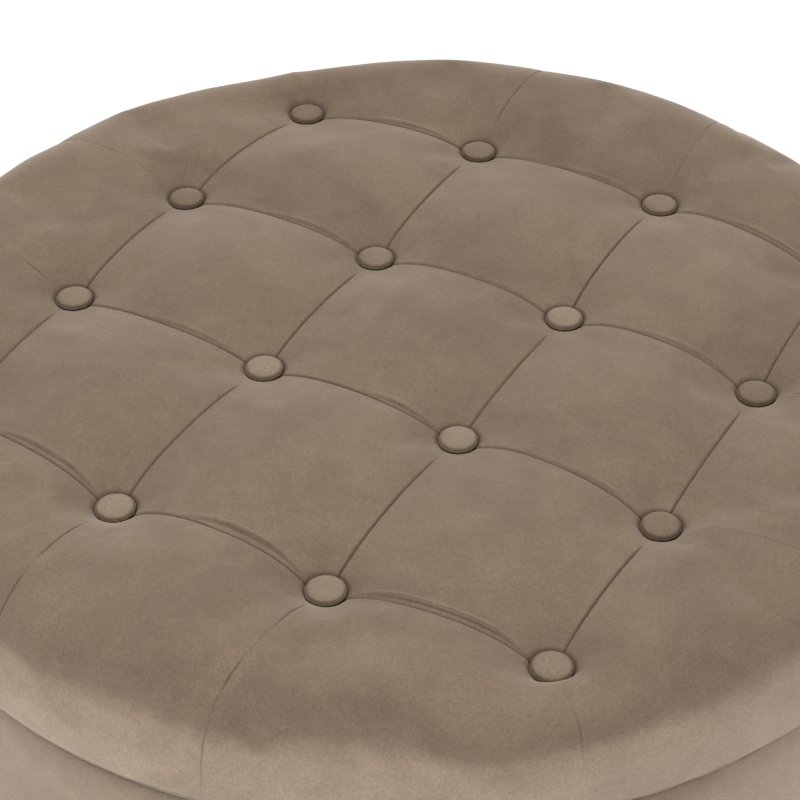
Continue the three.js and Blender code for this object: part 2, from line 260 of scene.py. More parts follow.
# ---------------------------------------------------------------- materials
class Nodes:
    """A short way to write node trees."""

    def __init__(self, name):
        self.material = bpy.data.materials.new(name)
        self.material.use_nodes = True
        self.tree = self.material.node_tree
        self.shader = self.tree.nodes["Principled BSDF"]
        self.place = self.tree.nodes.new("ShaderNodeTexCoord").outputs["Object"]

    def feed(self, socket, value):
        """Links another socket to this one, or sets its value."""
        if isinstance(value, bpy.types.NodeSocket):
            self.tree.links.new(value, socket)
        else:
            socket.default_value = value

    def add(self, kind, **values):
        node = self.tree.nodes.new(kind)
        for key, value in values.items():
            if key in node.inputs:
                self.feed(node.inputs[key], value)
            else:
                setattr(node, key, value)
        return node

    def noise(self, scale, detail=2.0, roughness=0.5, distortion=0.0, stretch=None):
        place = self.place
        if stretch:
            place = self.add("ShaderNodeMapping", Vector=place, Scale=stretch).outputs["Vector"]
        return self.add("ShaderNodeTexNoise", Vector=place, Scale=scale, Detail=detail,
                        Roughness=roughness, Distortion=distortion).outputs["Fac"]

    def ramp(self, value, stops):
        """A colour ramp, its stops given as (position, colour or grey value)."""
        node = self.add("ShaderNodeValToRGB", Fac=value)
        elements = node.color_ramp.elements
        while len(elements) < len(stops):
            elements.new(0.5)
        for element, (at, colour) in zip(elements, stops):
            element.position = at
            element.color = (*colour, 1) if isinstance(colour, tuple) else (colour, colour, colour, 1)
        return node.outputs["Color"]

    def mix(self, factor, a, b, mode="MIX"):
        node = self.add("ShaderNodeMix", data_type="RGBA", blend_type=mode)
        for socket, value in zip((node.inputs[0], node.inputs[6], node.inputs[7]), (factor, a, b)):
            self.feed(socket, value)
        return node.outputs[2]

    def ranged(self, value, low, high, to_low, to_high):
        limits = {"From Min": low, "From Max": high, "To Min": to_low, "To Max": to_high}
        return self.add("ShaderNodeMapRange", Value=value, **limits).outputs["Result"]

    def maths(self, operation, *values):
        node = self.add("ShaderNodeMath", operation=operation)
        for socket, value in zip(node.inputs, values):
            self.feed(socket, value)
        return node.outputs[0]

    def painted_light_by_facing(self):
        """Painted light and shade by which way a face turns: lighter on upright faces, darker on the
        shoulder, on faces turned down and on faces towards the front, lighter on faces towards the back, with
        noisy streaks along the edges between.
        """
        parts = self.add("ShaderNodeSeparateXYZ", Vector=self.place.node.outputs["Normal"]).outputs
        streaks = self.ranged(self.noise(11.0, 4.0, 0.55, 0.8), 0.3, 0.7, -0.18, 0.18)
        height = self.maths("ADD", parts["Z"], streaks)
        stops = [(-0.8, 0.75), (-0.5, 0.85), (-0.22, (1.8, 1.9, 2.04)), (0.05, (1.85, 1.95, 2.1)),
                 (0.21, (1.71, 1.79, 1.91)), (0.54, (1.0, 1.01, 1.03)), (0.74, 0.92), (0.95, 0.98)]
        upright = self.ramp(self.maths("MULTIPLY_ADD", height, 0.5, 0.5),
                            [((z + 1) / 2, colour) for z, colour in stops])
        return self.mix(1.0, upright, self.ranged(parts["Y"], -0.35, 0.35, 0.9, 1.1), "MULTIPLY")

    def shaded(self, colour):
        """Painted shade: darker by the share in the mesh's shade attribute, in creases, round buttons and
        under the lid's edge, and browner as it darkens; a negative share paints a highlight.
        """
        shade = self.add("ShaderNodeAttribute", attribute_name="shade").outputs["Fac"]
        warm = self.add("ShaderNodeMix", data_type="VECTOR", clamp_factor=False, Factor=shade)
        warm.inputs[4].default_value = (1, 1, 1)
        warm.inputs[5].default_value = (0.08, 0, -0.1)
        return self.mix(1.0, colour, warm.outputs[1], "MULTIPLY")

    def bump(self, height, distance, strength, normal=None):
        node = self.add("ShaderNodeBump", Height=height, Distance=distance, Strength=strength)
        if normal:
            self.feed(node.inputs["Normal"], normal)
        return node.outputs["Normal"]

    def finish(self, colour, roughness, normal=None, fixed=None):
        """Feeds the shader with textures, and its other inputs with fixed values."""
        values = {"Base Color": colour, "Roughness": roughness, "Normal": normal} | (fixed or {})
        for key, value in values.items():
            if value is not None:
                self.feed(self.shader.inputs[key], value)
        return self.material


def srgb(r, g, b):
    return tuple(((c / 255 + 0.055) / 1.055) ** 2.4 if c > 10.3 else c / 255 / 12.92 for c in (r, g, b))


def velvet(name, dark, light, sheen=0.42):
    """Short-pile velvet: brushed patches, fine pile grain, painted light and shade by which way each face
    turns, painted shade from the shade attribute and a bloom at grazing angles.
    """
    n = Nodes(name)
    patches = n.noise(11.0, 4.0, 0.6, 0.9)
    unevenness = n.noise(55.0, 4.0, 0.65, 0.6)
    pile = n.noise(620.0, 3.0, 0.75)
    fibre = n.noise(1900.0, 1.0, 0.5)
    base = n.ramp(n.mix(0.4, patches, unevenness), [(0.36, dark), (0.62, light)])
    grain = n.ramp(n.mix(0.4, pile, fibre), [(0.32, 0.62), (0.68, 1.3)])
    colour = n.mix(0.6, base, grain, "MULTIPLY")
    # painted light and shade by facing, then the painted shade of creases, button rims and the lid's overhang
    colour = n.shaded(n.mix(1.0, colour, n.painted_light_by_facing(), "MULTIPLY"))
    rough = n.ramp(patches, [(0.3, 0.78), (0.7, 0.95)])
    normal = n.bump(pile, 0.0006, 0.35, n.bump(unevenness, 0.002, 0.12))
    bloom = {"Sheen Weight": sheen, "Sheen Roughness": 0.42, "Sheen Tint": (0.86, 0.78, 0.68, 1)}
    return n.finish(colour, rough, normal, bloom | {"Specular IOR Level": 0.18})


VELVET = velvet("velvet", srgb(108, 92, 76), srgb(121, 104, 87))
# Painted light and shade for the way each button's nap lies: some get lighter copies of the velvet, 0 dark to
# 2 light
BUTTON_PAINTED_LIGHT = [[0, 0, 1, 1], [0, 1, 2, 0], [1, 2, 2, 0], [2, 2, 2, 1]]
TONE_STEP = 9


def button_velvet(tone):
    """A copy of the velvet for some of the buttons, with painted light: lighter with each tone."""
    dark, light = ([v + TONE_STEP * tone for v in colour] for colour in ((108, 92, 76), (118, 101, 84)))
    return velvet(f"button_velvet_{tone}", srgb(*dark), srgb(*light), sheen=0.4)


BUTTON_VELVETS = [button_velvet(tone) for tone in range(3)]


def wood(name, dark, light):
    """Straight-grained upright timber under a satin varnish."""
    n = Nodes(name)
    upright = (1, 1, 0.07)
    rings = n.noise(70.0, 5.0, 0.6, 1.2, upright)
    pores = n.noise(900.0, 2.0, 0.6, 0.0, upright)
    colour = n.ramp(rings, [(0.32, dark), (0.5, light), (0.68, dark)])
    colour = n.mix(0.35, colour, n.ramp(pores, [(0.4, 0.6), (0.6, 1.1)]), "MULTIPLY")
    rough = n.ramp(rings, [(0.3, 0.35), (0.7, 0.5)])
    varnish = {"Coat Weight": 0.25, "Coat Roughness": 0.25}
    return n.finish(colour, rough, n.bump(pores, 0.0003, 0.25), varnish)


def fibreboard():
    """Pressed wood fibre with fine flecks."""
    n = Nodes("fibreboard")
    flecks = n.noise(420.0, 3.0, 0.7)
    tone = n.noise(16.0, 2.0)
    colour = n.ramp(n.mix(0.6, tone, flecks), [(0.35, srgb(150, 116, 76)), (0.65, srgb(186, 150, 106))])
    rough = n.ramp(flecks, [(0.3, 0.7), (0.7, 0.9)])
    return n.finish(colour, rough, n.bump(flecks, 0.0004, 0.3))


def foam():
    """Open-cell upholstery foam."""
    n = Nodes("foam")
    cells = n.add("ShaderNodeTexVoronoi", Vector=n.place, Scale=900.0).outputs["Distance"]
    tone = n.mix(0.5, cells, n.noise(25.0))
    colour = n.ramp(tone, [(0.2, srgb(214, 200, 160)), (0.7, srgb(238, 228, 196))])
    rough = n.ramp(cells, [(0.1, 0.85), (0.9, 0.97)])
    return n.finish(colour, rough, n.bump(cells, 0.0006, 0.5))


def lining(name, dark, light, weave=150.0):
    """Plain-woven lining cloth."""
    n = Nodes(name)
    bands = []
    for axis in ("X", "Y", "Z"):
        wave = n.add("ShaderNodeTexWave", Vector=n.place, Scale=weave, Distortion=0.6, bands_direction=axis)
        bands.append(wave.outputs["Fac"])
    threads = n.mix(0.5, n.mix(0.5, bands[0], bands[1]), bands[2])
    tone = n.noise(30.0, 4.0, 0.6)
    colour = n.ramp(n.mix(0.4, tone, threads), [(0.3, dark), (0.7, light)])
    rough = n.ramp(tone, [(0.3, 0.8), (0.7, 0.94)])
    normal = n.bump(threads, 0.0003, 0.4, n.bump(tone, 0.001, 0.15))
    return n.finish(colour, rough, normal, {"Sheen Weight": 0.15})


def metal(name, dark, light):
    """Zinc-plated steel with faint drawing marks."""
    n = Nodes(name)
    marks = n.noise(500.0, 3.0, 0.6, 0.0, (0.05, 1, 1))
    blotches = n.noise(60.0, 3.0, 0.6)
    colour = n.ramp(n.mix(0.5, marks, blotches), [(0.3, dark), (0.7, light)])
    rough = n.ramp(blotches, [(0.3, 0.25), (0.7, 0.42)])
    return n.finish(colour, rough, n.bump(marks, 0.0001, 0.25), {"Metallic": 1.0})


def moulded(name, dark, light, smoothest=0.5, roughest=0.65, grain=1400.0):
    """Moulded plastic or rubber with a fine spark-eroded grain."""
    n = Nodes(name)
    spark = n.noise(grain, 2.0, 0.6)
    tone = n.noise(80.0, 3.0)
    colour = n.ramp(n.mix(0.4, tone, spark), [(0.3, dark), (0.7, light)])
    rough = n.ramp(tone, [(0.3, smoothest), (0.7, roughest)])
    return n.finish(colour, rough, n.bump(spark, 0.0002, 0.3))


def thread(name, dark, light):
    """Twisted sewing thread."""
    n = Nodes(name)
    twist = n.noise(2500.0, 2.0, 0.6, 0.4)
    colour = n.ramp(twist, [(0.35, dark), (0.65, light)])
    rough = n.ramp(twist, [(0.3, 0.6), (0.7, 0.8)])
    return n.finish(colour, rough, n.bump(twist, 0.0002, 0.4))


LEG_WOOD = wood("leg_wood", srgb(58, 36, 22), srgb(92, 60, 38))
FIBREBOARD = fibreboard()
FOAM = foam()
STORE_LINING = lining("store_lining", srgb(44, 42, 41), srgb(62, 59, 57))
DUST_CLOTH = lining("dust_cloth", srgb(26, 26, 27), srgb(38, 38, 39), 70.0)
STEEL = metal("zinc_steel", srgb(168, 168, 166), srgb(202, 202, 199))
PLASTIC = moulded("glide_plastic", srgb(24, 24, 24), srgb(36, 36, 36))
RUBBER = moulded("bumper_rubber", srgb(30, 30, 30), srgb(42, 42, 42), 0.75, 0.9, 2200.0)
THREAD = thread("lining_thread", srgb(70, 67, 64), srgb(96, 92, 88))


# ---------------------------------------------------------------- the tufted lid
def base_profile(s):
    """Radius, height and outward normal (radial, up) of the untufted skin, s along it from the centre."""
    s = np.asarray(s, float)
    turn = np.clip((s - FLAT_R) / SHOULDER_R, 0, math.pi / 2)
    r = np.minimum(s, FLAT_R) + SHOULDER_R * np.sin(turn)
    z = LID_TOP - SHOULDER_R + SHOULDER_R * np.cos(turn)
    down = np.clip(s - ARC_END, 0, SIDE)
    edge = np.clip((s - ARC_END - SIDE) / EDGE_R, 0, math.pi / 2)
    inward = np.clip(s - EDGE_END, 0, None)
    r = r - EDGE_R * (1 - np.cos(edge)) - inward
    z = z - down - EDGE_R * np.sin(edge)
    angle = math.pi / 2 - turn - edge
    return r, z, np.cos(angle), np.sin(angle)


def outward_depth(s, middle):
    """Depth along a crease that leaves the grid for the rim, fading out on the lid's side."""
    fade = 1 - 0.8 * smooth(FLAT_R + 10 * MM, ARC_END - 4 * MM, s)
    return middle * fade * (1 - smooth(ARC_END - 4 * MM, ARC_END + 12 * MM, s))


def pull(distance):
    return np.clip(1 - distance / REACH, 0, 1) ** 2.6


def crease_field(pairs):
    """Depth from several creases, given as (distance to it, its own depth), exact on each."""
    stays, total, weights = 1, 0, 1e-9
    for distance, depth in pairs:
        p = np.minimum(pull(distance), 1 - 1e-7)
        total = total + depth * p / (1 - p)
        weights = weights + p / (1 - p)
        stays = stays * (1 - p)
    return total / weights * (1 - stays)


def groove(distance, width=GROOVE):
    return np.exp(-distance / width)


def pleat_shape(distance, width):
    """Height across a folded pleat: a narrow sunk strip, a second fine line, and the rolled lip beyond it."""
    strip = -0.7 * MM * (1 - smooth(width - 0.5 * MM, width + 0.3 * MM, distance))
    line = -0.9 * MM * np.exp(-np.abs(distance - width) / (0.4 * MM))
    lip = 0.85 * MM * ridge(distance - width - 1.3 * MM, 1.2 * MM)
    return strip + line + lip


def place_on_skin(plan, s, depth):
    """3D points from plan directions, distances along the skin and depths."""
    r, z, normal_r, normal_z = base_profile(s)
    angle = np.arctan2(plan[..., 1], plan[..., 0])
    x = (r - normal_r * depth) * np.cos(angle)
    y = (r - normal_r * depth) * np.sin(angle)
    return np.stack([x, y, z - normal_z * depth], -1)


def near_buttons(plan, s, depth):
    """Draws the skin down to every button, and under it with a tight gap round its rim."""
    skin = place_on_skin(plan, s, 0)
    on_top = 1 - smooth(FLAT_R + 22 * MM, ARC_END - 12 * MM, s)
    for centre in ALL_BUTTONS:
        out = np.linalg.norm(centre)
        r = np.linalg.norm(skin - place_on_skin(centre, out, 0), axis=-1)
        near_edge = smooth(FLAT_R - 40 * MM, FLAT_R, out)
        gap = plan - centre
        outwards = gap @ centre / out / np.maximum(np.linalg.norm(gap, axis=-1), 1e-9)
        share = STEEPER_AT_BACK if centre[1] > 0 else STEEPER_AT_FRONT
        steeper = 1 + share * near_edge * smooth(-0.2, 1, outwards)
        funnel = on_top * np.exp(-np.clip(r - BUTTON_R, 0, None) * steeper / FUNNEL)
        depth = depth + (PINNED - depth) * funnel
        depth = depth + GAP_DEPTH * (1 - smooth(BUTTON_R - 0.2 * MM, BUTTON_R + 2.2 * MM, r))
    return depth


def steps_from(start, growth, length, most=3.6 * MM):
    """Distances from 0 to length whose steps start small and grow."""
    places = [0.0]
    while places[-1] < length:
        places.append(places[-1] + min(start + growth * places[-1], most))
    return np.array(places) * length / places[-1]


def clustered(start, growth):
    """Parameters from 0 to 1 along a button pitch, close together at both ends."""
    half = steps_from(start, growth, PITCH / 2) / PITCH
    return np.concatenate([half, 1 - half[-2::-1]])


def bowed(a, b, s, bow):
    """A line from a to b in plan, bowed sideways."""
    along = b - a
    side = np.array([-along[1], along[0]]) / np.linalg.norm(along)
    return a + np.outer(s, along) + np.outer(np.sin(math.pi * s) * bow, side)


class Crease:
    """A crease between two neighbouring buttons."""

    def __init__(self, a, b, rise, bow, pleat=0.0, strength=0.0, pleat_start=0.0):
        self.a, self.b, self.bow = a, b, bow
        self.middle = LID_TOP - BUTTON_TOP - rise * MM
        self.is_row = pleat > 0
        self.pleat, self.strength, self.pleat_start = pleat, strength, pleat_start

    def line(self, s):
        return bowed(self.a, self.b, s, self.bow)

    def sharpness(self, s):
        """Column creases start a little way out from the button behind them."""
        start = smooth(0.06, 0.12, s) if self.is_row else smooth(0.15, 0.3, s)
        return start * smooth(0.06, 0.1, 1 - s)

    def opening(self, s):
        """How open the pleat is along the crease, from 0 to 1, and how wide."""
        share = smooth(self.pleat_start, self.pleat_start + 0.25, s) * smooth(0.06, 0.3, 1 - s)
        return share, self.pleat * (0.25 + 0.75 * share)


def row_crease(row, column):
    bow = (1.5 * waves(row, column, 3.1, 5)) * MM
    return Crease(BUTTONS[row][column], BUTTONS[row][column + 1], ROW_RISE[row][column], bow,
                  PLEAT[row][column] * MM, PLEAT_STRENGTH[row][column], PLEAT_START[row][column])


def column_crease(row, column):
    bow = (2.0 * waves(row, column, 2.3, 9)) * MM
    return Crease(BUTTONS[row][column], BUTTONS[row + 1][column], COLUMN_RISE[column][row], bow)


ROW_CREASES = [[row_crease(r, c) for c in range(ROWS - 1)] for r in range(ROWS)]
COLUMN_CREASES = [[column_crease(r, c) for c in range(ROWS)] for r in range(ROWS - 1)]


def ripples(plan, s):
    """Slow unevenness and settling of the stuffing, gone where the board backs the velvet."""
    x, y = plan[..., 0], plan[..., 1]
    soft = 0.9 * MM * waves(x, y, 0.11, 3) * (1 - 0.6 * smooth(FLAT_R - 20 * MM, FLAT_R, s))
    fine = 0.25 * MM * waves(x, y, 0.035, 4)
    sag = SAG * ridge(np.arctan2(y, x) - SAG_AT, SAG_SPREAD)
    settled = (SETTLED + sag) * smooth(FLAT_R - 45 * MM, FLAT_R + 15 * MM, s)
    return (soft + fine + settled) * (1 - smooth(ARC_END - 10 * MM, ARC_END + 10 * MM, s))


def hem_gathers(plan, s):
    """Small folds where the velvet is gathered and stapled under the lid."""
    angle = np.arctan2(plan[..., 1], plan[..., 0])
    folds = np.sin(angle * 57) * np.sin(angle * 23 + 1) + 0.4 * np.sin(angle * 131)
    return 0.35 * MM * folds * smooth(EDGE_END - 1 * MM, EDGE_END + 9 * MM, s)


def add_crease(depth, distance, s, crease, behind):
    """The narrow groove of a crease, and the pleat on the side behind a row crease."""
    sharp = crease.sharpness(s)
    depth = depth + GROOVE_DEPTH * sharp * groove(distance)
    if crease.is_row and behind:
        share, width = crease.opening(s)
        depth = depth - pleat_shape(distance, width) * share * crease.strength
    if crease.is_row and not behind:
        depth = depth + 0.6 * MM * sharp * (groove(distance, 2.4 * MM) - groove(distance))
    return depth


def crease_shade(distance, s, crease, behind):
    """Painted shade along a crease and along the fine line of its pleat, and a painted highlight on the lip
    beyond it.
    """
    shade = 0.55 * crease.sharpness(s) * ridge(distance, 0.55 * MM)
    if crease.is_row and behind:
        share, width = crease.opening(s)
        past = distance - width
        lines = 0.3 * ridge(past, 0.45 * MM) - 0.2 * ridge(past - 1.4 * MM, MM)
        shade = shade + share * crease.strength * lines
    return shade


def button_shade(plan):
    """Painted shade: a dark ring round each button, where the velvet turns down under it."""
    shade = 0
    for centre in ALL_BUTTONS:
        near = smooth(BUTTON_R + 0.6 * MM, BUTTON_R + 3.2 * MM, plan_gap(plan, centre))
        shade = shade + 0.5 * (1 - near)
    return shade


ACROSS = clustered(0.3 * MM, 0.1)      # along row creases
ALONG = clustered(0.3 * MM, 0.07)      # along column creases
LONGEST_RUN = 190 * MM                 # of the skin, from an outer crease to the hem
OUTWARD = steps_from(0.3 * MM, 0.07, LONGEST_RUN) / LONGEST_RUN


class Patch:
    """A grid of skin points, its two parameters from 0 to 1, and each point's hold and shade."""

    def __init__(self, points, down, length, across, hold, shade):
        """Length is how far the skin runs down the grid."""
        self.points, self.down, self.across, self.hold, self.shade = points, down, across, hold, shade
        self.hold[[0, -1]] = 1
        self.hold[:, [0, -1]] = 1
        self.sample = spaced(down, CLOTH_STEP / length), spaced(across, CLOTH_STEP / PITCH)


def held(nearest, plan):
    """Creases and buttons hold the velvet; between them it is free."""
    hold = ridge(nearest, HELD_BY_CREASE)
    for centre in ALL_BUTTONS:
        beyond = np.clip(plan_gap(plan, centre) - BUTTON_R, 0, None)
        hold = np.maximum(hold, ridge(beyond, HELD_BY_BUTTON))
    return hold


def cell(row, column):
    """One pillow between four buttons."""
    back, front = ROW_CREASES[row][column], ROW_CREASES[row + 1][column]
    left, right = COLUMN_CREASES[row][column], COLUMN_CREASES[row][column + 1]
    u, v = np.meshgrid(ACROSS, ALONG)
    corners = [back.a, back.b, front.a, front.b]
    lines = [c.line(ACROSS if c.is_row else ALONG) for c in (back, front, left, right)]
    plan = (1 - v)[..., None] * lines[0][None] + v[..., None] * lines[1][None]
    plan = plan + (1 - u)[..., None] * lines[2][:, None] + u[..., None] * lines[3][:, None]
    for corner, weight in zip(corners, ((1 - u) * (1 - v), u * (1 - v), (1 - u) * v, u * v)):
        plan = plan - weight[..., None] * corner

    def gap(line, axis):
        other = line[None] if axis == 0 else line[:, None]
        return np.linalg.norm(plan - other, axis=-1)

    d_back, d_front = gap(lines[0], 0), gap(lines[1], 0)
    d_left, d_right = gap(lines[2], 1), gap(lines[3], 1)
    depth = crease_field([(d_back, back.middle), (d_front, front.middle),
                          (d_left, left.middle), (d_right, right.middle)])
    s = np.hypot(plan[..., 0], plan[..., 1])
    depth = near_buttons(plan, s, depth + ripples(plan, s))
    # Painted shade round the buttons and along the creases, with a painted highlight on the pleats' lips
    shade = button_shade(plan)
    for distance, t, crease in (
        (d_back, u, back), (d_front, u, front), (d_left, v, left), (d_right, v, right),
    ):
        depth = add_crease(depth, distance, t, crease, crease is front)
        shade = np.maximum(shade, 0) + crease_shade(distance, t, crease, crease is front)
    nearest = np.minimum(np.minimum(d_back, d_front), np.minimum(d_left, d_right))
    return Patch(place_on_skin(plan, s, depth), ALONG, PITCH, ACROSS, held(nearest, plan), shade)


class Outward:
    """A crease from an outer button to the rim. end is its plan point on the lid's edge."""

    def __init__(self, start, middle, direction, groove_depth, corner):
        self.start, self.middle, self.groove_depth, self.corner = start, middle, groove_depth, corner
        self.end = rim_point(start, direction)

    def line(self, s):
        """How clearly its thin line shows, in short broken stretches."""
        breaks = waves(s, self.start @ (3, 7), 30 * MM, 17, 3)
        return self.groove_depth * (0.3 + 0.7 * smooth(-0.3, 0.3, breaks))


def rim_point(start, direction):
    """Where a plan line from start in a direction meets the lid's edge circle."""
    b = start @ direction
    return start + direction * (-b + math.sqrt(b * b - start @ start + LID_R**2))


def border(crease, left, right, behind):
    """A pillow from one crease between outer buttons out to the rim, down the side and under the lid."""
    t = ACROSS if crease.is_row else ALONG
    inner = crease.line(t)
    angle_a = math.atan2(left.end[1], left.end[0])
    angle_b = math.atan2(right.end[1], right.end[0])
    sweep = (angle_b - angle_a + math.pi) % math.tau - math.pi
    angles = angle_a + sweep * t
    outer = LID_R * np.stack([np.cos(angles), np.sin(angles)], -1)
    start = np.hypot(inner[:, 0], inner[:, 1])
    s = start[None] + (SKIN_END - start)[None] * OUTWARD[:, None]
    r = np.where(s < ARC_END, base_profile(s)[0], LID_R)
    along = outer - inner
    a = (along**2).sum(-1)[None]
    b = 2 * (inner * along).sum(-1)[None]
    c = start[None] ** 2 - r**2
    k = np.clip((-b + np.sqrt(np.clip(b * b - 4 * a * c, 0, None))) / (2 * a), 0, 1)
    k[0] = 0
    plan = inner[None] + k[..., None] * along[None]
    skin = place_on_skin(plan, s, 0)
    away = s - start[None]
    d_left = np.linalg.norm(skin - skin[:, :1], axis=-1)
    d_right = np.linalg.norm(skin - skin[:, -1:], axis=-1)
    depth = crease_field([(away, crease.middle), (d_left, outward_depth(s[:, :1], left.middle)),
                          (d_right, outward_depth(s[:, -1:], right.middle))])
    depth = near_buttons(plan, s, depth + ripples(plan, s))
    sharp = smooth(14 * MM, 24 * MM, away) * (1 - 0.55 * smooth(ARC_END - 20 * MM, ARC_END, s))
    sharp = sharp * (1 - smooth(EDGE_END - 4 * MM, EDGE_END, s))
    depth = depth + (left.line(s) * groove(d_left) + right.line(s) * groove(d_right)) * sharp
    line = (left.line(s) * ridge(d_left, 0.5 * MM) + right.line(s) * ridge(d_right, 0.5 * MM)) / MM
    s_crease = np.broadcast_to(t, away.shape)
    depth = add_crease(depth, away, s_crease, crease, behind)
    # Painted shade round the buttons and along the creases, thin and broken along the creases out to the rim,
    # with a painted highlight on the pleats' lips
    shade = button_shade(plan) + 0.3 * sharp * line + crease_shade(away, s_crease, crease, behind)
    nearest = np.minimum(away, np.minimum(d_left, d_right))
    hold = np.maximum(held(nearest, plan), smooth(ARC_END - 25 * MM, ARC_END + 8 * MM, s))
    for distance, outward in ((d_left, left), (d_right, right)):
        if outward.corner:
            low_down = smooth(FLAT_R - 10 * MM, FLAT_R + 12 * MM, s)
            hold = np.maximum(hold, ridge(distance, 55 * MM) * low_down)
    points = place_on_skin(plan, s, depth + hem_gathers(plan, s))
    return Patch(points, OUTWARD, LONGEST_RUN, t, hold, shade)


def lid_patches():
    last = ROWS - 1
    patches = [cell(r, c) for r in range(last) for c in range(last)]
    out = {}
    for i in range(ROWS):
        for (row, column), way, depth in (
            ((0, i), (0, 1), 1.2), ((last, i), (0, -1), 4.5),
            ((i, 0), (-1, 0), 2.5), ((i, last), (1, 0), 2.5),
        ):
            corner = i in (0, last)
            start = BUTTONS[row][column]
            direction = start / np.linalg.norm(start) if corner else np.array(way, float)
            line = 0.3 if corner and row == 0 else 1.0
            out[row, column] = Outward(start, (1.5 if corner else depth) * MM, direction, line * MM, corner)
    for c in range(last):
        patches.append(border(ROW_CREASES[0][c], out[0, c], out[0, c + 1], True))
        patches.append(border(ROW_CREASES[last][c], out[last, c], out[last, c + 1], False))
        patches.append(border(COLUMN_CREASES[c][0], out[c, 0], out[c + 1, 0], False))
        patches.append(border(COLUMN_CREASES[c][last], out[c, last], out[c + 1, last], False))
    return patches


def patch_mesh(name, grids, material):
    verts, faces, start = [], [], 0
    for points in grids:
        rows, columns = points.shape[:2]
        verts.extend(points.reshape(-1, 3))
        faces.extend(grid_faces(rows, columns, start))
        start += rows * columns
    return mesh_piece(name, verts, faces, material)


def store_shade(piece, shade):
    """Writes the painted shade to the mesh, one value for each vertex: darker where positive, lighter where
    negative.
    """
    piece.data.attributes.new("shade", "FLOAT", "POINT").data.foreach_set("value", shade)


def spaced(places, least):
    """Indices of the places that are at least so far apart, with both ends."""
    chosen = [0]
    for k in range(1, len(places) - 1):
        if places[k] - places[chosen[-1]] >= least and places[-1] - places[k] >= least:
            chosen.append(k)
    return chosen + [len(places) - 1]


def cubic(x, known, values):
    """Smooth interpolation of values, along their first axis, from the known places to x."""
    slopes = np.gradient(values, known, axis=0)
    k = np.clip(np.searchsorted(known, x) - 1, 0, len(known) - 2)
    shape = (-1,) + (1,) * (values.ndim - 1)
    step = (known[k + 1] - known[k]).reshape(shape)
    t = ((x - known[k]) / (known[k + 1] - known[k])).reshape(shape)
    rise = t * t * (3 - 2 * t)
    return (values[k] * (1 - rise) + values[k + 1] * rise
            + step * (slopes[k] * t * (1 - t) ** 2 - slopes[k + 1] * t * t * (1 - t)))


def settle(patches):
    """Cloth simulation of the velvet, blown up by its filling and held at creases, buttons and board."""
    grids = [patch.points[np.ix_(*patch.sample)] for patch in patches]
    holds = np.concatenate([patch.hold[np.ix_(*patch.sample)].ravel() for patch in patches])
    cloth = patch_mesh("cloth", grids, VELVET)
    group = cloth.vertex_groups.new(name="held")
    for k, weight in enumerate(holds):
        group.add([k], float(weight), "REPLACE")
    modifier = cloth.modifiers.new("cloth", "CLOTH")
    for name, value in CLOTH_SETTINGS.items():
        setattr(modifier.settings, name, value)
    modifier.settings.effector_weights.gravity = 0
    modifier.collision_settings.use_self_collision = False
    scene = bpy.context.scene
    for step in range(1, CLOTH_FRAMES + 1):
        scene.frame_set(step)
    cooked = cloth.evaluated_get(bpy.context.evaluated_depsgraph_get()).data
    moved = positions(cooked) - np.concatenate([grid.reshape(-1, 3) for grid in grids])
    size = np.linalg.norm(moved, axis=1, keepdims=True)
    moved *= np.minimum(1, MOST_MOVED / np.maximum(size, 1e-9))
    bpy.data.objects.remove(cloth)
    scene.frame_set(1)
    start = 0
    for patch, grid in zip(patches, grids):
        down, across = patch.sample
        count = grid.shape[0] * grid.shape[1]
        shift = moved[start:start + count].reshape(grid.shape)
        shift = cubic(patch.down, patch.down[down], shift)
        shift = cubic(patch.across, patch.across[across], shift.swapaxes(0, 1)).swapaxes(0, 1)
        patch.points = patch.points + shift
        start += count


def make_lid_foam(patches):
    """The foam under the velvet: the same pillows, one cloth thickness in, flat on the board."""
    thick = 2.4 * MM
    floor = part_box("lid_foam_pad")[0][2]
    grids = [np.concatenate([patch.points[::3], patch.points[-1:]]) for patch in patches]
    grids = [np.concatenate([grid[:, ::3], grid[:, -1:]], axis=1) for grid in grids]
    foam_pad = weld(patch_mesh("lid_foam", grids, FOAM), 0.3 * MM)
    bm = bmesh.new()
    bm.from_mesh(foam_pad.data)
    bm.normal_update()
    for vert in bm.verts:
        vert.co -= vert.normal * thick
        vert.co.z = max(vert.co.z, floor)
    bmesh.ops.remove_doubles(bm, verts=bm.verts, dist=0.2 * MM)
    bmesh.ops.holes_fill(bm, edges=[edge for edge in bm.edges if edge.is_boundary])
    bmesh.ops.recalc_face_normals(bm, faces=bm.faces)
    bm.to_mesh(foam_pad.data)
    bm.free()
    placed(foam_pad, "lid", ["lid_foam_pad"])


def make_lid():
    patches = lid_patches()
    settle(patches)
    make_lid_foam(patches)
    lid = patch_mesh("lid_velvet", [patch.points for patch in patches], VELVET)
    # painted shade of the creases and round the buttons, stored on the mesh
    store_shade(lid, np.concatenate([patch.shade.ravel() for patch in patches]))
    weld(lid)
    placed(lid, "lid", ["lid_velvet_cover"])


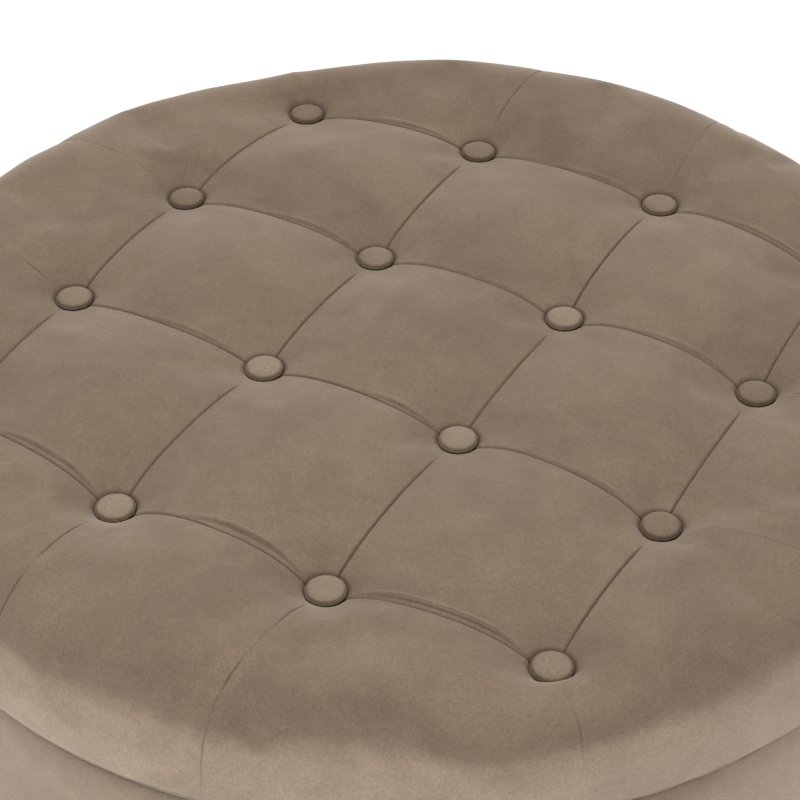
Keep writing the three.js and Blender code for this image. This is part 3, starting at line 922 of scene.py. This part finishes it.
# ---------------------------------------------------------------- buttons
def make_button(row, column):
    node = f"tuft_button_r{row + 1}c{column + 1}"
    centre = BUTTONS[row][column]
    rng = random.Random(row * 10 + column)
    rim = BUTTON_TOP - RIM_DROP
    back = BUTTON_LOW[2] + 0.1 * MM
    twine_r = 1.5 * MM
    under = rim - 2.4 * MM
    profile = [(0, back), (3 * twine_r, back), (3 * twine_r, back + 0.4 * MM), (twine_r, back + 0.7 * MM),
               (twine_r, under), (BUTTON_R * 0.84, under)]
    steps = 12
    for i in range(steps + 1):
        angle = -0.9 + (math.pi / 2 + 0.9) * i / steps
        across = math.cos(angle) ** 0.62 if angle > 0 else math.cos(angle) ** 0.3
        lift = RIM_DROP if angle > 0 else 1.6 * MM
        profile.append((BUTTON_R * across, rim + lift * math.sin(angle)))
    profile[-1] = (0, BUTTON_TOP)

    phase = rng.uniform(0, math.tau)

    def gathers(angles, r, z):
        depth = 0.12 * MM * (1 - smooth(rim, rim + 2 * MM, z)) * (z > under - 1e-6)
        return depth * np.sin(angles * 11 + phase), 0

    material = BUTTON_VELVETS[BUTTON_PAINTED_LIGHT[row][column]]
    button = turned(node.replace("tuft", "covered"), profile, material, 48, gathers, at=centre)
    r = plan_gap(positions(button.data), centre)
    # Painted shade on the button's own rim, darker towards its edge
    store_shade(button, 0.6 * smooth(0.8 * BUTTON_R, 0.96 * BUTTON_R, r))
    placed(button, "lid", [node])


# ---------------------------------------------------------------- drum
DRUM_LOW, DRUM_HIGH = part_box("drum_velvet_sleeve")
DRUM_R = DRUM_HIGH[0]
VELVET_T = 1.8 * MM
TOP_HEM_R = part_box("storage_lining")[1][0] + 0.4 * MM
BOTTOM_HEM_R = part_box("dust_cover")[1][0] + 0.4 * MM


def rim_crown(r, turn):
    """How far the padded rim stands up towards the lid, with hollows for hinge leaves and bumpers."""
    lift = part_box("bumper_left")[1][2] - DRUM_HIGH[2] - 0.4 * MM
    shape = smooth(TOP_HEM_R + 2 * MM, TOP_HEM_R + 12 * MM, r) * (1 - smooth(DRUM_R - 6 * MM, DRUM_R, r))
    x, y = r * np.cos(turn), r * np.sin(turn)
    clear = np.ones_like(x)
    for side in ("left", "right"):
        low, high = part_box(f"hinge_base_leaf_{side}")
        beside = np.maximum(low[0] - x, x - high[0])
        clear = clear * np.where(y > 0, smooth(2 * MM, 12 * MM, beside), 1)
        centre = plan_centre(f"bumper_{side}")
        clear = clear * smooth(5 * MM, 13 * MM, np.hypot(x - centre[0], y - centre[1]))
    return lift * shape * clear


def make_drum():
    """The velvet sleeve: one wide strip with a single sewn seam at the back, turned in at both ends."""
    bottom, top = DRUM_LOW[2], DRUM_HIGH[2]
    wall_in = DRUM_R - VELVET_T
    outline = [(BOTTOM_HEM_R, bottom)]
    for turn, radius, z in ((-math.pi / 2, 4 * MM, bottom + 4 * MM), (0, 9 * MM, top - 9 * MM)):
        outline += arc((DRUM_R - radius, z), (radius, radius), turn, math.pi / 2, 8)
    outline += [(TOP_HEM_R, top), (TOP_HEM_R, top - VELVET_T), (wall_in, top - VELVET_T),
                (wall_in, bottom + VELVET_T), (BOTTOM_HEM_R, bottom + VELVET_T), (BOTTOM_HEM_R, bottom)]
    seam_at = math.pi / 2
    even = np.linspace(0, math.tau, 600, endpoint=False)
    close = seam_at + np.linspace(-6 * MM, 6 * MM, 25) / DRUM_R
    angles = np.unique(np.concatenate([even[np.abs(even - seam_at) > 8 * MM / DRUM_R], close]))

    def hang(turn, r, z):
        if r < wall_in + 0.2 * MM and bottom + 2 * MM < z < top - 2 * MM:
            return 0, 0
        side = smooth(DRUM_R - 5 * MM, DRUM_R - 1 * MM, r)
        x, y = DRUM_R * np.cos(turn), DRUM_R * np.sin(turn)
        ease = 0.7 * MM * waves(x * 3, y * 3, 0.2, 11) + 0.35 * MM * waves(x * 9 + z, y * 9, 0.2, 12)
        tuck = smooth(0.05, 0, top - z) + smooth(0.05, 0, z - bottom)
        tuck = 0.4 * MM * tuck * waves(x * 16 + z * 0.5, y * 16, 0.2, 13)
        if z > top - 12 * MM:
            crown = rim_crown(r, turn) * smooth(top - 9 * MM, top, z)
        else:
            crown = 0
        away = np.abs(turn - seam_at) * DRUM_R
        seam = 0.35 * MM * ridge(away - 3.5 * MM, 2 * MM) - 1.5 * MM * groove(away, 0.5 * MM)
        height = (z - bottom) / (top - bottom)
        belly = 1.2 * MM * math.sin(math.pi * min(max(height, 0), 1))
        at_hem = z > top - 1 * MM or z < bottom + 1 * MM
        folds = 0.3 * MM * np.sin(turn * 61) * np.sin(turn * 27 + 2) * (1 - side) * at_hem
        return (ease + tuck + seam + belly) * side, crown + folds

    drum = turned("drum_velvet", densified(outline, 4 * MM), VELVET, wobble=hang, angles=angles)
    x, y, z = positions(drum.data).T
    # Painted shadow of the lid's overhang: the top of the drum painted darker, fading out over 42 mm
    # downwards, unevenly
    lid_shadow = 1 - smooth(4 * MM, 42 * MM, top - z)
    # Painted shade: the drum's left side painted darker
    unevenness = 0.25 * smooth(0.35, -0.55, x / DRUM_R)
    store_shade(drum, 0.22 * lid_shadow * (1 + 0.4 * waves(x, y, 0.12, 14)) + unevenness)
    placed(drum, "base", ["drum_velvet_sleeve"])


def cloth_disc(name, node, body, material, sag):
    """A thin round cloth panel with a turned edge and faint wrinkles."""
    low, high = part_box(node)
    radius = high[0]
    outline = rounded([(0, low[2]), (radius, low[2]), (radius, high[2]), (0, high[2])], 0.45 * MM, 3)

    def crumple(turn, r, z):
        x, y = r * np.cos(turn), r * np.sin(turn)
        loose = 1 - smooth(radius - 25 * MM, radius - 2 * MM, r)
        pull_lines = 0.5 * np.sin(turn * 34 + 3 * np.sin(turn * 5)) * (r < radius - 2 * MM)
        pull_lines = pull_lines * smooth(radius - 60 * MM, radius - 8 * MM, r)
        return 0, sag * (waves(x, y, 0.09, 21) * loose + pull_lines)

    disc = turned(name, densified(outline, 7 * MM), material, 220, crumple)
    placed(disc, body, [node])


def make_storage_lining():
    low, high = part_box("storage_lining")
    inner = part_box("storage_floor_liner")[1][0] + 0.4 * MM
    thick = 1.3 * MM
    outer, top, hem = inner + thick, high[2], high[0]
    outline = rounded([(inner, low[2]), (inner, top), (hem, top), (hem, top - thick), (outer, top - thick),
                       (outer, low[2])], 1.2 * MM, 4)

    def gathers(turn, r, z):
        if r > outer + 1 * MM:
            return 0, 0.15 * MM * np.sin(turn * 83) * np.sin(turn * 31)
        hang = math.sin(math.pi * min(max((z - low[2]) / (top - low[2]), 0), 1)) ** 0.7
        folds = waves(turn, np.full_like(turn, z * 0.6), 0.16, 31) - 0.6
        return 1.6 * MM * hang * np.minimum(folds, 0), 0

    cloth = turned("storage_lining_cloth", densified(outline, 9 * MM), STORE_LINING, 360, gathers)
    placed(cloth, "base", ["storage_lining"])
    stitches("storage_lining_stitches", (inner + hem) / 2 + 1 * MM, top + 0.1 * MM, "base")


def stitches(name, radius, height, body):
    """A round row of short stitches."""
    length, pitch, thick = 3.2 * MM, 4.6 * MM, 0.28 * MM
    count = round(math.tau * radius / pitch)
    verts, faces = [], []
    sides, rings = 6, 5
    for k in range(count):
        middle = math.tau * k / count
        for i in range(rings):
            t = i / (rings - 1) * 2 - 1
            size = thick * math.sqrt(max(1 - 0.96 * t * t, 0.02))
            turn = middle + t * length / 2 / radius
            for j in range(sides):
                a = math.tau * j / sides
                r = radius + size * math.cos(a)
                verts.append((r * math.cos(turn), r * math.sin(turn), height + size * 0.7 * math.sin(a)))
        base = k * sides * rings
        faces += grid_faces(rings, sides, base, closed=True)
        faces.append(tuple(base + j for j in range(sides)))
        faces.append(tuple(base + (rings - 1) * sides + j for j in reversed(range(sides))))
    placed(weld(mesh_piece(name, verts, faces, THREAD), 0.001 * MM), body, [])


def staples(name, radius, height, body):
    """A round row of flat wire staples."""
    crown, wire, pitch = 9 * MM, 0.6 * MM, 24 * MM
    count = round(math.tau * radius / pitch)
    verts, faces = [], []
    for k in range(count):
        rng = random.Random(k)
        middle = math.tau * (k + rng.uniform(-0.12, 0.12)) / count
        lean = rng.uniform(-0.15, 0.15)
        centre = np.array([math.cos(middle), math.sin(middle)]) * radius
        along = np.array([-math.sin(middle + lean), math.cos(middle + lean)])
        across = np.array([along[1], -along[0]])
        for t in (-1, -0.92, 0.92, 1):
            lift = 0 if abs(t) < 1 else 0.6 * MM
            for a, b in ((-1, -1), (1, -1), (1, 1), (-1, 1)):
                x, y = centre + along * t * crown / 2 + across * a * wire / 2
                verts.append((x, y, height + b * wire / 3 + lift))
        base = k * 16
        faces += grid_faces(4, 4, base, closed=True)
        faces.append(tuple(base + j for j in (3, 2, 1, 0)))
        faces.append(tuple(base + 12 + j for j in range(4)))
    placed(weld(mesh_piece(name, verts, faces, STEEL, False), 0.001 * MM), body, [])


# ---------------------------------------------------------------- legs and small hardware
def make_leg(place):
    """A turned leg, tapering down from its neck bead, and the glide under it."""
    low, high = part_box(f"leg_{place}")
    at = plan_centre(f"leg_{place}")
    bottom, top = low[2], high[2]
    wide = (high[0] - low[0]) / 2
    narrow = wide * 13 / 22
    neck = top - 12 * MM
    outline = [(0, bottom), (narrow - 1.5 * MM, bottom), (narrow, bottom + 1.5 * MM)]
    for i in range(1, 15):
        t = i / 14
        swell = 0.8 * MM * math.sin(math.pi * t)
        outline.append((narrow + (wide - 2.2 * MM - narrow) * t + swell, bottom + (neck - bottom) * t))
    outline += [(wide - 3.4 * MM, neck + 0.6 * MM), (wide - 3.4 * MM, neck + 2.2 * MM)]
    outline += arc((wide - 2.6 * MM, neck + 5.6 * MM), (2.6 * MM, 3 * MM), -math.pi / 2, math.pi, 8)
    outline += [(wide - 2.2 * MM, top), (0, top)]
    leg = turned(f"turned_leg_{place}", outline, LEG_WOOD, 64, at=at)
    placed(leg, "base", [f"leg_{place}"])
    low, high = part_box(f"leg_glide_{place}")
    r, thick = (high[0] - low[0]) / 2, 2.7 * MM
    pad = rounded([(0, 0), (r, 0), (r, thick), (2 * MM, thick), (2 * MM, high[2]), (0, high[2])], 0.9 * MM)
    glide = turned(f"glide_{place}", pad, PLASTIC, 48, at=at)
    placed(glide, "base", [f"leg_glide_{place}"])


def make_bumper(side):
    """A domed rubber bumper."""
    node = f"bumper_{side}"
    low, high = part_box(node)
    r = (high[0] - low[0]) / 2
    dome = low[2] + 1.4 * MM
    outline = [(0, low[2]), (r - 0.3 * MM, low[2]), (r, low[2] + 0.4 * MM), (r, dome)]
    for i in range(8):
        a = math.pi / 2 * i / 8
        outline.append((r * math.cos(a) ** 0.7, dome + (high[2] - dome) * math.sin(a)))
    outline.append((0, high[2]))
    bumper = turned(f"rubber_{node}", outline, RUBBER, 48, at=plan_centre(node))
    placed(bumper, "base", [node])


def rounded_plate(name, low, high, corner, bevel, material):
    """A flat plate with rounded far corners and softened edges."""
    points = []
    for cx, cy, start in ((low[0], low[1], 180), (high[0], low[1], 270)):
        inwards = corner if cx == low[0] else -corner
        points += arc((cx + inwards, cy + corner), (corner, corner), math.radians(start), math.pi / 2, 6)
    points += [(high[0], high[1]), (low[0], high[1])]
    count = len(points)
    middle = ((low[0] + high[0]) / 2, (low[1] + high[1]) / 2)
    verts, faces = [], []
    for z, inset in ((low[2], bevel), (low[2] + bevel, 0), (high[2] - bevel, 0), (high[2], bevel)):
        for x, y in points:
            way = np.array([middle[0] - x, middle[1] - y])
            way = way / np.linalg.norm(way) * inset
            verts.append((x + way[0], y + way[1], z))
    faces += grid_faces(4, count, closed=True)
    faces.append(tuple(reversed(range(count))))
    faces.append(tuple(3 * count + k for k in range(count)))
    return weld(mesh_piece(name, verts, faces, material, False), 0.001 * MM)


def laid_along_x(piece, y, z):
    """Turns an upright piece to lie along x."""
    piece.data.transform(Matrix.Translation((0, y, z)) @ Matrix.Rotation(math.pi / 2, 4, "Y"))
    return piece


def knuckle(name, x0, x1, y, z):
    """A piece of the hinge's barrel."""
    outer, inner, bevel = 2.35 * MM, 1.45 * MM, 0.25 * MM
    outline = [(inner, x0), (outer - bevel, x0), (outer, x0 + bevel), (outer, x1 - bevel),
               (outer - bevel, x1), (inner, x1), (inner, x0)]
    return laid_along_x(turned(name, outline, STEEL, 32), y, z)


def make_hinge(side):
    """Both leaves, with their knuckles, the pin and the cross-recess screws."""
    pin_low, pin_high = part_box(f"hinge_pin_{side}")
    y, z = (pin_low[1] + pin_high[1]) / 2, (pin_low[2] + pin_high[2]) / 2
    x0, x1 = pin_low[0], pin_high[0]
    middle_length, gap, leaf_t = 17 * MM, 0.3 * MM, 1.3 * MM
    inner0, inner1 = (x0 + x1 - middle_length) / 2, (x0 + x1 + middle_length) / 2
    for body, leaf_low, spans in (
        ("base", z - 2.35 * MM, ((x0, inner0 - gap), (inner1 + gap, x1))),
        ("lid", z + 1.05 * MM, ((inner0, inner1),)),
    ):
        node = f"hinge_{body}_leaf_{side}"
        leaf_top = leaf_low + leaf_t
        pieces = []
        for k, (a, b) in enumerate(spans):
            pieces.append(knuckle(f"{node}_knuckle{k}", a, b, y, z))
            pieces.append(rounded_plate(f"{node}_tongue{k}", (a, y - 4 * MM, leaf_low),
                                        (b, y - 0.2 * MM, leaf_top), 0.1 * MM, 0.1 * MM, STEEL))
        far_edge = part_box(node)[0][1]
        pieces.append(rounded_plate(f"{node}_plate", (x0, far_edge, leaf_low), (x1, y - 3.4 * MM, leaf_top),
                                    4 * MM, 0.25 * MM, STEEL))
        placed(joined(f"{body}_leaf_{side}", pieces), body, [node])
        for which in "ab":
            make_screw(f"hinge_{body}_screw_{side}_{which}", body, -1 if body == "base" else 1)
    pin_r, head = 1.2 * MM, 0.6 * MM
    outline = [(0, x0 - head), (pin_r, x0 - head), (pin_r, x1 + head), (0, x1 + head)]
    pin = laid_along_x(turned(f"pin_{side}", rounded(outline, 0.5 * MM), STEEL, 32), y, z)
    placed(pin, "base", [f"hinge_pin_{side}"])


def make_screw(node, body, up):
    """A countersunk screw: thread turns below a head with a cross recess."""
    low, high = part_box(node)
    face = low[2] if up > 0 else high[2]
    head, shank, length = 3.2 * MM, 1.35 * MM, 12 * MM
    outline = [(0, 0), (head - 0.2 * MM, 0), (head, 0.15 * MM), (1.7 * MM, 1.5 * MM)]
    turns = 8
    for k in range(turns * 2):
        along = 2 * MM + (length - 4 * MM) * k / (turns * 2 - 1)
        outline.append((shank + (0.3 * MM if k % 2 else -0.05 * MM), along))
    outline += [(shank * 0.6, length - 1 * MM), (0, length)]
    screw = turned(node.replace("hinge_", ""), outline, STEEL, 32)
    cutters = []
    slot_length, slot_width = 2.9 * MM, 0.55 * MM
    for k, (x, y) in enumerate(((slot_width / 2, slot_length / 2), (slot_length / 2, slot_width / 2))):
        verts = [(sx * x * w, sy * y * w, z) for z, w in ((-1 * MM, 1), (1.1 * MM, 0.75))
                 for sx, sy in ((-1, -1), (1, -1), (1, 1), (-1, 1))]
        faces = [(3, 2, 1, 0), (4, 5, 6, 7), (0, 1, 5, 4), (1, 2, 6, 5), (2, 3, 7, 6), (3, 0, 4, 7)]
        cutters.append(mesh_piece(f"cutter{k}", verts, faces, STEEL, False))
    for cutter in cutters:
        cut = screw.modifiers.new("recess", "BOOLEAN")
        cut.operation = "DIFFERENCE"
        cut.object = cutter
        cut.solver = "EXACT"
    apply_modifiers(screw)
    for cutter in cutters:
        bpy.data.objects.remove(cutter)
    if up < 0:
        screw.data.transform(Matrix.Rotation(math.pi, 4, "X"))
    screw.data.transform(Matrix.Rotation(hash_turn(node), 4, "Z"))
    screw.data.transform(Matrix.Translation((*plan_centre(node), face)))
    placed(screw, body, [node])


def hash_turn(name):
    """A repeatable quarter-turn or so for each screw, as a hand driver leaves it."""
    return sum(ord(letter) * (k + 3) for k, letter in enumerate(name)) % 90 / 90 * math.pi / 2


def apply_modifiers(piece):
    with bpy.context.temp_override(object=piece, active_object=piece, selected_objects=[piece]):
        for modifier in list(piece.modifiers):
            bpy.ops.object.modifier_apply(modifier=modifier.name)


def dress_cad_nodes():
    """Materials for the CAD pieces that stay as they are."""
    finishes = {"board": FIBREBOARD, "foam": FOAM, "steel": STEEL, "lining": STORE_LINING}
    for row in frame["record"]["subparts"]:
        node, slot_name = row["node"], row["material_slot"]
        if slot_name in finishes:
            for place in frame["nodes"][node].material_slots:
                place.material = finishes[slot_name]


# ---------------------------------------------------------------- stage
def make_stage():
    n = Nodes("floor")
    material = n.finish(n.ramp(n.noise(3.0), [(0.3, 0.92), (0.7, 0.935)]), 0.9)
    size = 12
    corners = [(-size, -size, 0), (size, -size, 0), (size, size, 0), (-size, size, 0)]
    floor = mesh_piece("floor", corners, [(0, 1, 2, 3)], material, False)
    world = bpy.data.worlds.new("studio")
    bpy.context.scene.world = world
    world.use_nodes = True
    background = world.node_tree.nodes["Background"].inputs
    background["Color"].default_value = (1, 1, 1, 1)
    background["Strength"].default_value = 0.96


def soft_light(name, place, target, size, power):
    data = bpy.data.lights.new(name, "AREA")
    data.shape = "DISK"
    data.size = size
    data.energy = power
    light = bpy.data.objects.new(name, data)
    bpy.context.scene.collection.objects.link(light)
    light.location = place
    aim = np.array(target) - np.array(place)
    light.rotation_euler = Vector(aim).to_track_quat("-Z", "Y").to_euler()


def make_camera():
    """The view of the photograph: close above the lid's front."""
    azimuth, elevation = math.radians(30.41), math.radians(39.33)
    back = np.array([math.sin(azimuth) * math.cos(elevation), -math.cos(azimuth) * math.cos(elevation),
                     math.sin(elevation)])
    target = np.array([0.163 * PITCH, -0.363 * PITCH, BUTTON_TOP])
    data = bpy.data.cameras.new("camera")
    data.lens = 102.3
    data.sensor_width = 36
    camera = bpy.data.objects.new("camera", data)
    bpy.context.scene.collection.objects.link(camera)
    camera.location = target + back * 9.67 * PITCH
    camera.rotation_euler = Vector(-back).to_track_quat("-Z", "Y").to_euler()
    bpy.context.scene.camera = camera


make_camera()
make_stage()
soft_light("key", (0.1, -1.35, 2.5), (0, 0, 0.3), 0.9, 34)
dress_cad_nodes()
make_lid()
for row in range(ROWS):
    for column in range(ROWS):
        make_button(row, column)
cloth_disc("lid_lining_cloth", "lid_lining", "lid", STORE_LINING, 0.25 * MM)
lining_low, lining_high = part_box("lid_lining")
stitches("lid_lining_stitches", lining_high[0] - 4 * MM, lining_low[2] - 0.1 * MM, "lid")
dust_low, dust_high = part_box("dust_cover")
staples("dust_cover_staples", dust_high[0] - 7 * MM, dust_low[2] - 0.2 * MM, "base")
make_drum()
make_storage_lining()
cloth_disc("floor_liner_cloth", "storage_floor_liner", "base", STORE_LINING, 0.5 * MM)
cloth_disc("dust_cover_cloth", "dust_cover", "base", DUST_CLOTH, 0.25 * MM)
for place in ("back_right", "back_left", "front_left", "front_right"):
    make_leg(place)
for side in ("left", "right"):
    make_bumper(side)
    make_hinge(side)

bpy.context.scene.view_settings.view_transform = "Standard"
